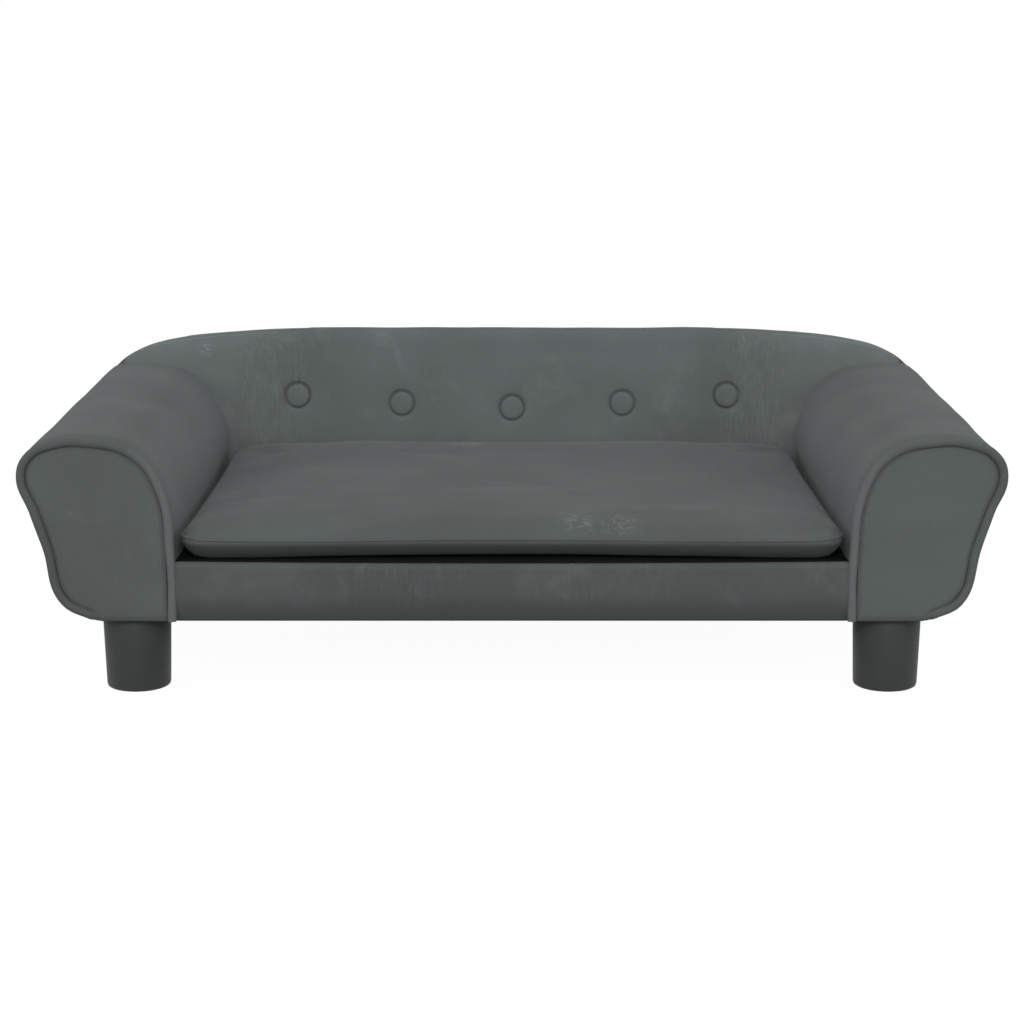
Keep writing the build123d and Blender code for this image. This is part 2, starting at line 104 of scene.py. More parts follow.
# %% A shader value that Python can calculate with
class Shade:
    """One socket of a node tree that can be added, multiplied and mixed."""

    def __init__(self, tree, socket):
        self.tree = tree
        self.socket = socket

    def node(self, kind, settings=None, **values):
        """Add a node: its settings first, then the values or links of its inputs."""
        made = self.tree.nodes.new(kind)
        for key, value in (settings or {}).items():
            setattr(made, key, value)
        for key, value in values.items():
            self.feed(made.inputs[int(key[1:]) if key[0] == "i" else key.replace("_", " ")], value)
        return made

    def feed(self, target, value):
        if isinstance(value, Shade):
            self.tree.links.new(value.socket, target)
        else:
            target.default_value = value

    def out(self, node, index=0):
        return Shade(self.tree, node.outputs[index])

    def maths(self, operation, first, second):
        return self.out(self.node("ShaderNodeMath", {"operation": operation}, i0=first, i1=second))

    def __add__(self, other):
        return self.maths("ADD", self, other)

    def __radd__(self, other):
        return self.maths("ADD", other, self)

    def __sub__(self, other):
        return self.maths("SUBTRACT", self, other)

    def __rsub__(self, other):
        return self.maths("SUBTRACT", other, self)

    def __mul__(self, other):
        return self.maths("MULTIPLY", self, other)

    def __rmul__(self, other):
        return self.maths("MULTIPLY", other, self)

    def noise(self, size, detail=2.0, roughness=0.5, distortion=0.0):
        """Cloudy pattern with blobs of about this size in metres."""
        made = self.node(
            "ShaderNodeTexNoise",
            Vector=self,
            Scale=1 / size,
            Detail=detail,
            Roughness=roughness,
            Distortion=distortion,
        )
        return self.out(made)

    def stretched(self, x, y, z):
        """The same place with its axes scaled, to draw a pattern out in a direction."""
        made = self.node("ShaderNodeMapping", i0=self, i3=(x, y, z))
        return self.out(made)

    def axis(self, number):
        """One coordinate of a place."""
        return self.out(self.node("ShaderNodeSeparateXYZ", i0=self), number)

    def off_middle(self):
        """Distance of a place from the plane that splits left from right."""
        across = self.axis(0)
        return across.maths("ABSOLUTE", across, 0.0)

    def near(self, place, reach):
        """1 at a place given in metres, falling to 0 at this distance from it."""
        made = self.node("ShaderNodeVectorMath", {"operation": "DISTANCE"}, i0=self, i1=place)
        return self.out(made, 1).between(reach, 0)

    def between(self, low, high):
        """0 below low, 1 above high, smooth in between."""
        made = self.node("ShaderNodeMapRange", {"interpolation_type": "SMOOTHSTEP"}, i0=self)
        made.inputs[1].default_value = low
        made.inputs[2].default_value = high
        return self.out(made)

    def mixed(self, first, second):
        """The first colour where this value is 0, the second where it is 1."""
        made = self.tree.nodes.new("ShaderNodeMix")
        made.data_type = "RGBA"
        self.feed(made.inputs[0], self)
        self.feed(made.inputs[6], first)
        self.feed(made.inputs[7], second)
        return self.out(made, 2)


def start_material(name, roughness):
    """A new material, its main shader and the place on the object."""
    material = bpy.data.materials.new(name)
    material.use_nodes = True
    tree = material.node_tree
    shader = tree.nodes["Principled BSDF"]
    shader.inputs["Roughness"].default_value = roughness
    place = Shade(tree, tree.nodes.new("ShaderNodeTexCoord").outputs["Object"])
    return material, shader, place


def bump(shader, height, depth, strength=1.0):
    """Fine relief of this depth in metres."""
    made = height.node("ShaderNodeBump", Strength=strength, Distance=depth, Height=height)
    height.tree.links.new(made.outputs[0], shader.inputs["Normal"])


print("shader helper ready")

# %% [markdown]
# ## Velvet
#
# Velvet is a short upright pile. It looks dark where the eye looks into the pile and pale where
# the pile has been brushed over, so a sofa shows soft cloudy patches, long strokes left by a hand
# and a pale rim on rounded edges. The rim is sheen, set on the shader. The patches are noise at
# three sizes, and a very fine noise gives the pile itself. Each piece's colours are also scaled by
# a share of its own, which is painted light and shade. Painted shade darkens the cloth below a
# given height, and painted light makes it paler towards the ends of some pieces.

# %% Velvet
velvet_dark = (0.079, 0.0888, 0.0878, 1)
velvet_mid = (0.094, 0.1055, 0.1045, 1)
velvet_pale = (0.135, 0.148, 0.147, 1)
velvet_nap = (0.19, 0.207, 0.206, 1)
cloud_size = 160 * mm
worn_size = 90 * mm
stroke_size = 45 * mm
lump_size = 12 * mm
press_size = 4 * mm
crease_size = 3.2 * mm
pile_size = 1.6 * mm
pile_depth = 0.6 * mm
seam_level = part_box("cushion_cover")[0][2] + 20.5 * mm
foot_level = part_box("front_rail_cover")[0][2]


def scaled(colour, share):
    """A colour made darker or brighter."""
    return tuple(part * share for part in colour[:3]) + (1,)


def velvet(name, painted_light_share, strokes=(1, 1, 1), pale_from=0.6, creased=(), marks=(), painted_shade=(), ends=()):
    """Velvet with a share of painted light and shade, its brushed strokes drawn out along an axis.

    creased is a band off the middle plane with fine creases, marks are scratched spots with their
    reach, a band of painted shade gives two heights between which the cloth darkens and how dark
    it gets, and ends gives two distances off the middle plane between which painted light makes it
    paler and by how much.
    """
    material, shader, place = start_material(name, 0.9)
    shader.inputs["Sheen Weight"].default_value = 0.1
    shader.inputs["Sheen Roughness"].default_value = 0.45
    shader.inputs["Sheen Tint"].default_value = (0.86, 0.9, 0.9, 1)
    shader.inputs["Specular IOR Level"].default_value = 0.12
    tones = (velvet_dark, velvet_mid, velvet_pale, velvet_nap)
    # Painted light and shade: all four colours are scaled by the piece's share.
    dark, mid, pale, nap = [scaled(colour, painted_light_share) for colour in tones]
    clouds = place.noise(cloud_size, 3.0, 0.55, 0.4)
    brushed = place.stretched(*strokes).noise(stroke_size, 4.0, 0.65, 0.5)
    brushed = brushed.between(pale_from, pale_from + 0.26)
    pressed = place.stretched(1, 1, 0.25).noise(press_size, 2.0, 0.6, 0.3)
    worn = place.stretched(*strokes).noise(worn_size).between(0.5, 0.66)
    pile = place.noise(pile_size, 2.0, 0.6)
    relief = pile + place.noise(lump_size) * 0.8 + pressed * worn
    change = brushed * 0.42 + (pile - 0.5) * 0.26 + (pressed - 0.5) * worn * 0.5
    if creased:
        near, far = creased
        off = place.off_middle()
        band = off.between(near, near + 30 * mm) * off.between(far, far - 30 * mm)
        fine = place.stretched(1, 1, 0.12).noise(crease_size, 2.0, 0.6, 0.4)
        relief = relief + fine * band * 3.2
        change = change + (fine - 0.5) * band * 0.9
    # Painted light: paler between two distances off the middle plane, towards the piece's ends.
    if ends:
        near, far, painted_light = ends
        change = change + place.off_middle().between(near, far) * painted_light
    colour = change.mixed(clouds.between(0.3, 0.7).mixed(dark, mid), pale)
    for spot, reach in marks:
        scratched = place.stretched(0.4, 0.5, 1).noise(press_size, 3.0, 0.8, 1.5)
        spotted = place.near(spot, reach) * scratched.between(0.46, 0.62)
        colour = (spotted * 0.8).mixed(colour, nap)
    # Painted shade: below the upper height the colour goes over to a darker copy of the dark tone.
    if painted_shade:
        top, bottom, share = painted_shade
        above_painted_shade = place.axis(2).between(bottom, top)
        colour = above_painted_shade.mixed(scaled(dark, share), colour)
    place.feed(shader.inputs["Base Color"], colour)
    bump(shader, relief, pile_depth, 0.45)
    return material


print("velvet's colours:", velvet_dark[:3], velvet_mid[:3], velvet_pale[:3])

# %% [markdown]
# ## One velvet for each piece
#
# The same cloth is made lighter or darker on each piece by a share of painted light and shade, and
# some pieces get painted shade low down or painted light towards their ends. One material for all
# the pieces would need masks painted by hand. The same recipe, called with another share, another
# direction of its strokes and its own worn spots, is easier to adjust piece by piece.

# %% Velvets
# The number after each name is that velvet's share of painted light and shade.
plain_velvet = velvet("velvet", 0.97)
# Painted light: the inside of each arm is made paler.
arm_inside_painted_light = (cad_high[0] - 100 * mm, cad_high[0] - 155 * mm, 0.62)
arm_velvet = velvet("velvet_arms", 0.97, ends=arm_inside_painted_light)
front_velvet = velvet("velvet_front", 1.09, pale_from=0.62)
seat_marks = [
    ((-0.05, 0.135, 0.186), 35 * mm),
    ((0.07, -0.24, 0.176), 25 * mm),
    ((0.11, -0.24, 0.176), 30 * mm),
]
# Painted shade on the cushion's border below its seam.
seat_painted_shade = (seam_level - 0.5 * mm, seam_level - 6 * mm, 0.62)
seat_velvet = velvet("velvet_seat", 0.93, (0.3, 1, 1), 0.5, marks=seat_marks, painted_shade=seat_painted_shade)
rail_creases = (30 * mm, 190 * mm)
# Painted shade on the rail, darker towards its foot.
rail_painted_shade = (foot_level + 34 * mm, foot_level, 0.8)
rail_velvet = velvet("velvet_rail", 0.87, (1, 1, 0.7), 0.48, rail_creases, painted_shade=rail_painted_shade)
back_creases = (235 * mm, 345 * mm)
back_marks = [((-0.366, 0.22, 0.288), 14 * mm)]
# Painted light: the back is made paler towards its ends.
back_painted_light = (230 * mm, 320 * mm, 0.25)
back_velvet = velvet(
    "velvet_back", 1.24, (0.8, 1, 0.6), 0.5, back_creases, back_marks, ends=back_painted_light
)
print("velvets:", [m.name for m in (plain_velvet, seat_velvet, rail_velvet, back_velvet)])

# %% [markdown]
# ## Materials of the hidden parts
#
# Someone who turns the sofa over or takes the cushion out sees the rest: black lining cloth, foam,
# plywood, hardboard, plated steel and the zip. Each gets a small pattern of its own. The legs are
# nearly plain, so a faint cloud in their colour and gloss is enough. The linings are woven, and
# two crossed Wave textures draw a weave of any size without a picture.


# %% Legs and lining
def smooth_leg():
    material, shader, place = start_material("leg_finish", 0.5)
    shader.inputs["Specular IOR Level"].default_value = 0.25
    cloud = place.noise(50 * mm, 3.0)
    colour = cloud.mixed((0.03, 0.033, 0.032, 1), (0.038, 0.0415, 0.04, 1))
    place.feed(shader.inputs["Base Color"], colour)
    place.feed(shader.inputs["Roughness"], 0.48 + cloud * 0.12)
    bump(shader, place.noise(2 * mm), 0.1 * mm, 0.3)
    return material


def lining_cloth(name, dark, pale, thread):
    """Plain woven cloth: two crossed waves of thread."""
    material, shader, place = start_material(name, 0.95)
    shader.inputs["Specular IOR Level"].default_value = 0.1
    waves = []
    for direction in ("X", "Y"):
        settings = {"bands_direction": direction}
        made = place.node("ShaderNodeTexWave", settings, Vector=place, Scale=1 / (thread * pi))
        waves.append(place.out(made, 1))
    weave = waves[0] * 0.5 + waves[1] * 0.5
    colour = (weave * 0.7 + place.noise(30 * mm) * 0.3).mixed(dark, pale)
    place.feed(shader.inputs["Base Color"], colour)
    bump(shader, weave, 0.3 * mm, 0.5)
    return material


leg_finish = smooth_leg()
# The deck's lining is black cloth, and its colours are darker still as painted shade, so that the
# deck seen beside the cushion stays black.
lining_dark = (0.004, 0.004, 0.0045, 1)
lining_pale = (0.013, 0.013, 0.0135, 1)
deck_lining = lining_cloth("deck_lining", lining_dark, lining_pale, 1.2 * mm)
dust_dark = (0.008, 0.008, 0.009, 1)
dust_pale = (0.022, 0.022, 0.024, 1)
dust_lining = lining_cloth("dust_lining", dust_dark, dust_pale, 1.8 * mm)
print("legs and linings:", leg_finish.name, deck_lining.name, dust_lining.name)

# %% [markdown]
# ## Foam, plywood and hardboard
#
# Cut foam shows its open cells, plywood its long grain and hardboard its pressed fibres. Pictures
# of them would stretch on the cut ends. Noise that is worked out in the object's own space has no
# seams, and a Mapping node draws it out into grain.


# %% Foam and wood
def foam():
    material, shader, place = start_material("foam", 0.95)
    cells = place.noise(2.5 * mm, 3.0, 0.7)
    colour = cells.mixed((0.62, 0.58, 0.4, 1), (0.84, 0.8, 0.62, 1))
    place.feed(shader.inputs["Base Color"], colour)
    bump(shader, cells, 0.6 * mm, 0.6)
    return material


def plywood():
    material, shader, place = start_material("plywood", 0.7)
    grain = place.stretched(0.08, 1, 1).noise(6 * mm, 4.0, 0.6, 0.3)
    colour = grain.mixed((0.4, 0.27, 0.15, 1), (0.66, 0.49, 0.3, 1))
    place.feed(shader.inputs["Base Color"], colour)
    bump(shader, grain, 0.3 * mm, 0.4)
    return material


def hardboard():
    material, shader, place = start_material("hardboard", 0.55)
    fibres = place.noise(2 * mm, 4.0, 0.7)
    colour = fibres.mixed((0.16, 0.085, 0.04, 1), (0.26, 0.15, 0.075, 1))
    place.feed(shader.inputs["Base Color"], colour)
    return material


upholstery_foam = foam()
frame_plywood = plywood()
wrap_hardboard = hardboard()
print("foam and wood:", upholstery_foam.name, frame_plywood.name, wrap_hardboard.name)

# %% [markdown]
# ## Steel and zip
#
# The bolts and staples are zinc plated, and the zip is a coil on woven tape. Its ribs are too fine
# to be worth modelling, so waves in the tape's colour and bump stand for them.


# %% Steel and zip
def metal(name, dark, pale, roughness):
    material, shader, place = start_material(name, roughness)
    shader.inputs["Metallic"].default_value = 1.0
    cloud = place.noise(4 * mm, 2.0)
    place.feed(shader.inputs["Base Color"], cloud.mixed(dark, pale))
    place.feed(shader.inputs["Roughness"], roughness + (cloud - 0.5) * 0.15)
    return material


def zip_tape():
    """Woven tape with the close cross ribs of a coil zip."""
    material, shader, place = start_material("zip_tape", 0.7)
    settings = {"bands_direction": "X"}
    made = place.node("ShaderNodeTexWave", settings, Vector=place, Scale=1 / (1.5 * mm * pi))
    ribs = place.out(made, 1)
    colour = ribs.mixed((0.012, 0.013, 0.013, 1), (0.04, 0.043, 0.043, 1))
    place.feed(shader.inputs["Base Color"], colour)
    bump(shader, ribs, 0.4 * mm, 0.7)
    return material


plated_steel = metal("plated_steel", (0.5, 0.5, 0.52, 1), (0.62, 0.62, 0.64, 1), 0.35)
slider_metal = metal("zip_metal", (0.3, 0.31, 0.32, 1), (0.45, 0.46, 0.47, 1), 0.3)
coil_tape = zip_tape()
print("steel and zip:", plated_steel.name, slider_metal.name, coil_tape.name)

# %% [markdown]
# ## Finishes on the CAD parts
#
# Each part of the CAD model says what it is made of. One dictionary turns that word into a
# material, which is shorter than choosing one for each part by its name, and misses none. The
# ties of the buttons are pale cord, so the foam's finish serves for them.

# %% Finishes
finishes = {
    "foam": upholstery_foam,
    "wood": frame_plywood,
    "hardboard": wrap_hardboard,
    "black_cloth": deck_lining,
    "leg_plastic": leg_finish,
    "zinc_steel": plated_steel,
    "zip_metal": slider_metal,
    "zip_nylon": coil_tape,
    "tie_nylon": upholstery_foam,
    "velvet": plain_velvet,
}
for part in frame["record"]["subparts"]:
    node = frame["nodes"][part["node"]]
    node.data.materials.clear()
    node.data.materials.append(finishes[part["material_slot"]])
frame["nodes"]["dust_cloth"].data.materials[0] = dust_lining

# %% [markdown]
# ## Smooth curves
#
# Most outlines of an upholstered piece are smooth curves through a few places. They could be drawn
# point by point, but a Bezier curve with automatic handles needs only the places that give the
# shape. Its mesh is the start of the piece.


# %% Curve helpers
def settled_mesh(holder):
    """The mesh of an object with its modifiers applied."""
    bpy.context.view_layer.update()
    evaluated = holder.evaluated_get(bpy.context.evaluated_depsgraph_get())
    return bpy.data.meshes.new_from_object(evaluated)


def curve_mesh(places, closed, corners, resolution, bevel, roundness):
    """Mesh of a smooth curve through places, sharp at the corners, as a cord if bevelled."""
    curve = bpy.data.curves.new("path", "CURVE")
    curve.dimensions = "3D"
    curve.resolution_u = resolution
    curve.bevel_depth = bevel
    curve.bevel_resolution = roundness
    curve.use_fill_caps = True
    spline = curve.splines.new("BEZIER")
    spline.bezier_points.add(len(places) - 1)
    for number, (knot, place) in enumerate(zip(spline.bezier_points, places)):
        kind = "VECTOR" if number in corners else "AUTO"
        knot.handle_left_type = kind
        knot.handle_right_type = kind
        knot.co = place
    spline.use_cyclic_u = closed
    holder = bpy.data.objects.new("path", curve)
    bpy.context.scene.collection.objects.link(holder)
    mesh = settled_mesh(holder)
    bpy.data.objects.remove(holder)
    return mesh


def path_mesh(points, closed, corners=(), resolution=8, bevel=0.0):
    """Mesh of a smooth curve through points of the front view."""
    return curve_mesh([(x, 0, z) for x, z in points], closed, corners, resolution, bevel, 5)


def along_path(points, closed, corners=()):
    """Close places along the smooth curve through a few points."""
    places = []
    for v in path_mesh(points, closed, corners).vertices:
        if not places or (Vector((v.co.x, v.co.z)) - Vector(places[-1])).length > 0.5 * mm:
            places.append((v.co.x, v.co.z))
    return places


print("curve helpers ready")

# %% [markdown]
# ## From a bmesh to a piece
#
# Every piece ends in the same steps. Its faces are turned outwards and the left one is mirrored
# from the right. Its points move along their normals by smooth noise, because cloth is never quite
# even. Then it becomes an object with smooth shading that rides on one body. Short functions do
# this for all of the pieces, so that no step is forgotten.


# %% Finishing helpers
def on_side(bm, side):
    """Turn the faces outwards, and mirror the shape where side is -1, for the left."""
    bmesh.ops.recalc_face_normals(bm, faces=bm.faces)
    if side < 0:
        bmesh.ops.scale(bm, verts=bm.verts, vec=(-1, 1, 1))
        bmesh.ops.reverse_faces(bm, faces=bm.faces)


def finish(bm, name, material, body, replaced=(), levels=0):
    """Turn a bmesh into a finished piece that rides on a body."""
    mesh = bpy.data.meshes.new(name)
    bm.to_mesh(mesh)
    bm.free()
    mesh.materials.append(material)
    for face in mesh.polygons:
        face.use_smooth = True
    piece = bpy.data.objects.new(name, mesh)
    bpy.context.scene.collection.objects.link(piece)
    if levels:
        rounder = piece.modifiers.new("round", "SUBSURF")
        rounder.levels = levels
        rounder.render_levels = levels
    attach(piece, body)
    if replaced:
        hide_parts(*replaced)
    return piece


def uneven(bm, size, depth, seed):
    """Move the points along their normals by smooth noise."""
    bm.normal_update()
    shift = Vector((seed * 7.3, seed * 3.1, seed * 5.7))
    for v in bm.verts:
        v.co += v.normal * depth * noise.noise(v.co / size + shift)


def ease(value, low, high):
    """0 below low, 1 above high, smooth in between."""
    t = min(max((value - low) / (high - low), 0), 1)
    return t * t * (3 - 2 * t)


print("halfway between 0 and 4, ease gives", ease(2, 0, 4))

# %% [markdown]
# ## Arms
#
# Each arm is a wooden box with a foam roll on top, and the velvet is pulled over it from the seat,
# round the roll and down the outer side. Seen from the front that makes a tulip. Its outline is
# given by a few shares of the arm's width and height, so that the same curve follows the sofa's
# size and serves the cover, the piping and the panel.

# %% Arm outline
arm_outer = cad_high[0]
arm_width = 158 * mm
arm_inner = arm_outer - arm_width
arm_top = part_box("arm_covers")[1][2]
arm_rise = arm_top - foot_level
front = cad_low[1]
board_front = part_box("back_board")[0][1]
arm_shares = [
    (0.0, 0.0),
    (0.526, 0.0),
    (0.7437, 0.1),
    (0.851, 0.4105),
    (0.918, 0.584),
    (1.0, 0.8),
    (0.93, 0.925),
    (0.78, 0.985),
    (0.5525, 1.0),
    (0.236, 0.929),
    (0.073, 0.755),
    (0.0, 0.321),
]
arm_places = [(arm_inner + a * arm_width, foot_level + u * arm_rise) for a, u in arm_shares]
arm_outline = along_path(arm_places, True, corners=(0,))
print("arm", round(arm_width / mm), "mm wide and", round(arm_rise / mm), "mm high")

# %% [markdown]
# ## Arm covers
#
# The cover could be bridged between a few outlines, but then each would have to be drawn. Here the
# outline is spun by no angle with a step along Y, which is a plain sweep in equal rings. Each ring
# is then drawn in a little where the cloth is sewn down, behind the piping and against the back,
# and the roll swells over the seat towards the rear.

# %% Arm covers
piping_radius = 4.5 * mm
cover_front = front + 7 * mm
cover_length = board_front - cover_front
cover_rings = 72
slack = 0.8 * mm
sewn_in = 4.2 * mm
sewn_length = 26 * mm
rear_share = 0.2
pucker_depth = 0.5 * mm
pucker_size = 1 / 70
under_wrap = 0.4 * mm
turned_under = 6 * mm
rear_rise = 5 * mm
rear_bulge = 6 * mm


def dip(from_back):
    """Shallow valley round the roll, a little in front of the back."""
    return ease(from_back, 4 * mm, 16 * mm) * (1 - ease(from_back, 16 * mm, 34 * mm))


def arm_cover(side):
    """Velvet over one arm, as a closed body from the piping to the back board."""
    bm = bmesh.new()
    bm.from_mesh(path_mesh(arm_places, True, corners=(0,)))
    bmesh.ops.remove_doubles(bm, verts=bm.verts, dist=0.1 * mm)
    bmesh.ops.translate(bm, verts=bm.verts, vec=(0, cover_front, 0))
    bmesh.ops.spin(
        bm,
        geom=bm.edges[:],
        cent=(0, 0, 0),
        axis=(0, 1, 0),
        dvec=(0, cover_length / cover_rings, 0),
        angle=0,
        steps=cover_rings,
    )
    bmesh.ops.recalc_face_normals(bm, faces=bm.faces)
    bm.normal_update()
    for v in bm.verts:
        from_front = v.co.y - cover_front
        from_back = board_front - v.co.y
        drawn = 1 - ease(from_front, 0, sewn_length)
        drawn += rear_share * (1 - ease(from_back, 0, 8 * mm) + dip(from_back))
        v.co -= v.normal * (slack + drawn * sewn_in)
        pucker = noise.noise(Vector((v.co.x, 0, v.co.z)) / pucker_size)
        v.co += v.normal * pucker_depth * pucker * drawn
        top_side = ease(v.co.z, arm_top - 90 * mm, arm_top)
        v.co.z += rear_rise * from_front / cover_length * top_side
        inner_side = 1 - ease(v.co.x, arm_inner, arm_inner + 30 * mm)
        over_seat = ease(v.co.z, 145 * mm, 190 * mm)
        over_seat *= 1 - ease(v.co.z, arm_top - 60 * mm, arm_top)
        v.co.x -= rear_bulge * inner_side * over_seat * ease(from_front, 60 * mm, 330 * mm)
    uneven(bm, 90 * mm, 1.3 * mm, 1.0 + side)
    for v in bm.verts:
        if v.co.z < foot_level + turned_under:
            v.co.z = foot_level - under_wrap
    sharp = bm.edges.layers.float.new("crease_edge")
    ends = [e for e in bm.edges if e.is_boundary]
    for e in ends:
        e[sharp] = 1
    bmesh.ops.holes_fill(bm, edges=ends, sides=0)
    on_side(bm, side)
    name = "right" if side > 0 else "left"
    piece = finish(bm, f"arm_velvet_{name}", arm_velvet, "sofa", levels=1)
    return piece


arm_covers = [arm_cover(side) for side in (-1, 1)]
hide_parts("arm_covers", "arm_roll_foams", "arm_inner_foams", "arm_outer_foams")
print("arm covers:", [len(piece.data.polygons) for piece in arm_covers], "faces")

# %% [markdown]
# ## Piping
#
# A round cord covered in velvet hides the seam round the front of each arm. A circle could be
# carried along the seam by an operator, but a curve with a bevel is a round cord from the start.
# Its route is the arm's outline, moved inwards by the cord's radius.

# %% Piping
tail_length = 14 * mm
tail_lift = 3.2 * mm
tail_depth = 9 * mm


def moved_in(points, distance, closed=True):
    """The places of an outline, each moved inwards; the outline runs anticlockwise."""
    moved = []
    count = len(points)
    for number, (x, z) in enumerate(points):
        before = points[number - 1] if closed or number else points[0]
        after = points[(number + 1) % count] if closed or number < count - 1 else points[-1]
        along = Vector((after[0] - before[0], after[1] - before[1])).normalized()
        moved.append((x - along.y * distance, z + along.x * distance))
    return moved


def piping(side, name):
    """Covered cord along the seam; its outer end is tucked behind the panel's foot."""
    seam = along_path(arm_places[1:] + [(arm_inner, foot_level)], False)
    route = moved_in(seam, piping_radius, closed=False)
    route[0] = (route[0][0] - tail_length, foot_level + tail_lift)
    route[-1] = (arm_inner + piping_radius, foot_level + 0.6 * mm)
    bm = bmesh.new()
    bm.from_mesh(path_mesh(route, False, resolution=2, bevel=piping_radius))
    bmesh.ops.translate(bm, verts=bm.verts, vec=(0, front + piping_radius, 0))
    for v in bm.verts:
        from_end = v.co.x - route[0][0]
        if v.co.z < foot_level + 20 * mm and v.co.x > route[-1][0] + 2 * piping_radius:
            v.co.y += tail_depth * (1 - ease(from_end, 0, 24 * mm))
    uneven(bm, 30 * mm, 0.35 * mm, 4.0 + side)
    on_side(bm, side)
    cord = finish(bm, f"piping_{name}", arm_velvet, "sofa")
    return cord


print("piping", round(2 * piping_radius / mm), "mm thick")

# %% [markdown]
# ## Arm front panels
#
# The end of each roll is closed by a padded panel inside the piping. A flat face with a rounded
# edge would look like a board. So one face is extruded several times, each ring a little smaller
# and further forward, and the panel swells gently and sinks into a groove beside the cord.

# %% Arm front panels
panel_inset = 8.2 * mm
panel_base = cover_front + 2 * mm
panel_rim = front + 8.5 * mm
rim_steps = [(0.2, 1.6), (0.5, 1.2), (1.0, 1.0), (1.8, 0.8)]
dome_steps = [(0.93, 0.7), (0.85, 0.4), (0.7, 0.3), (0.4, 0.2)]


def swelled(bm, inset, rise, middle, size=1):
    """Extrude the front face: its outline moves inwards or shrinks, and comes forward."""
    face = min(bm.faces, key=lambda face: face.calc_center_median().y)
    raised = bmesh.ops.extrude_face_region(bm, geom=[face])["geom"]
    face = [g for g in raised if isinstance(g, bmesh.types.BMFace)][0]
    ring = [v.co.copy() for v in face.verts]
    for number, v in enumerate(face.verts):
        along = (ring[(number + 1) % len(ring)] - ring[number - 1]).normalized()
        inwards = Vector((-along.z, 0, along.x))
        if inwards.dot(middle - v.co) < 0:
            inwards.negate()
        v.co += inwards * inset
        v.co.x = middle.x + (v.co.x - middle.x) * size
        v.co.z = middle.z + (v.co.z - middle.z) * size
        v.co.y -= rise


def front_panel(side, name):
    """Padded panel inside the piping of one arm."""
    bm = bmesh.new()
    for x, z in moved_in(arm_outline, panel_inset):
        z = foot_level if z < foot_level + panel_inset + 1 * mm else z
        bm.verts.new((max(x, arm_inner + panel_inset), panel_base, z))
    bmesh.ops.remove_doubles(bm, verts=bm.verts, dist=1.5 * mm)
    bm.faces.new(bm.verts)
    middle = sum((v.co for v in bm.verts), Vector()) / len(bm.verts)
    swelled(bm, 0, panel_base - panel_rim, middle)
    for inset, rise in rim_steps:
        swelled(bm, inset * mm, rise * mm, middle)
    done = 1
    for size, rise in dome_steps:
        swelled(bm, 0, rise * mm, middle, size / done)
        done = size
    on_side(bm, side)
    panel = finish(bm, f"arm_panel_{name}", front_velvet, "sofa", levels=1)
    return panel


def arm_front(side):
    name = "right" if side > 0 else "left"
    return piping(side, name), front_panel(side, name)


arm_fronts = [arm_front(side) for side in (-1, 1)]
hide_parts("arm_piping")
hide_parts("arm_front_panels", "arm_front_foams")
print("arm fronts:", [piece.name for pair in arm_fronts for piece in pair])

# %% [markdown]
# ## Back
#
# The back is a board with an arched top that falls at both ends to meet the arms. Its outline
# could be measured on its own, but below the arch it has to be the arm's outline, so the two are
# joined: a few places of the crest, and then the places of the arm.

# %% Back outline
half_width = cad_high[0]
back_top = cad_high[2]
widest_level = foot_level + 0.8 * arm_rise
crest_shares = [
    (0.0, 1.0),
    (0.3, 1.0),
    (0.47, 1.0),
    (0.65, 0.955),
    (0.826, 0.828),
    (0.9, 0.69),
    (0.96, 0.42),
]
crest_rise = back_top - widest_level
crest_places = [(a * half_width, widest_level + u * crest_rise) for a, u in crest_shares]
right_half = crest_places[1:] + [(arm_outer, widest_level)] + arm_places[4:0:-1]
back_outline = [(-x, z) for x, z in reversed(right_half)] + crest_places[:1] + right_half
crest = [(x, z) for x, z in along_path(back_outline, False) if x >= 0 and z > widest_level]
shell_front = board_front - 1 * mm
shell_rear = cad_high[1]
print("back", round(2 * half_width / mm), "mm wide, crest at", round(back_top / mm), "mm")

# %% [markdown]
# ## Covered board at the rear
#
# The rear of the sofa is a flat board with velvet stretched round its rim. A sheet with a
# thickness would need its rim modelled. The board's outline, filled and extruded, is closed at
# once, and a small bevel rounds its rim. Its foot stays sharp, where the cloth is folded under.

# %% Covered board at the rear
crest_drop = 1.6 * mm
shell_rounding = 3.2 * mm


def thicken(bm, depth):
    """Extrude a flat outline along Y into a closed slab."""
    raised = bmesh.ops.extrude_face_region(bm, geom=bm.faces[:])["geom"]
    far = [g for g in raised if isinstance(g, bmesh.types.BMVert)]
    bmesh.ops.translate(bm, verts=far, vec=(0, depth, 0))
    bmesh.ops.recalc_face_normals(bm, faces=bm.faces)


def round_edges(bm, edges, radius, segments):
    """Round these edges over."""
    bmesh.ops.bevel(
        bm,
        geom=edges,
        offset=radius,
        segments=segments,
        profile=0.5,
        affect="EDGES",
        material=-1,
    )


def shell_place(x, z):
    """Below the pad's crest at the top, and round the board's edge at the foot."""
    if z > arm_top:
        return (x, z - crest_drop)
    if z < foot_level + 1 * mm:
        return (x, z - under_wrap)
    return (x, z)


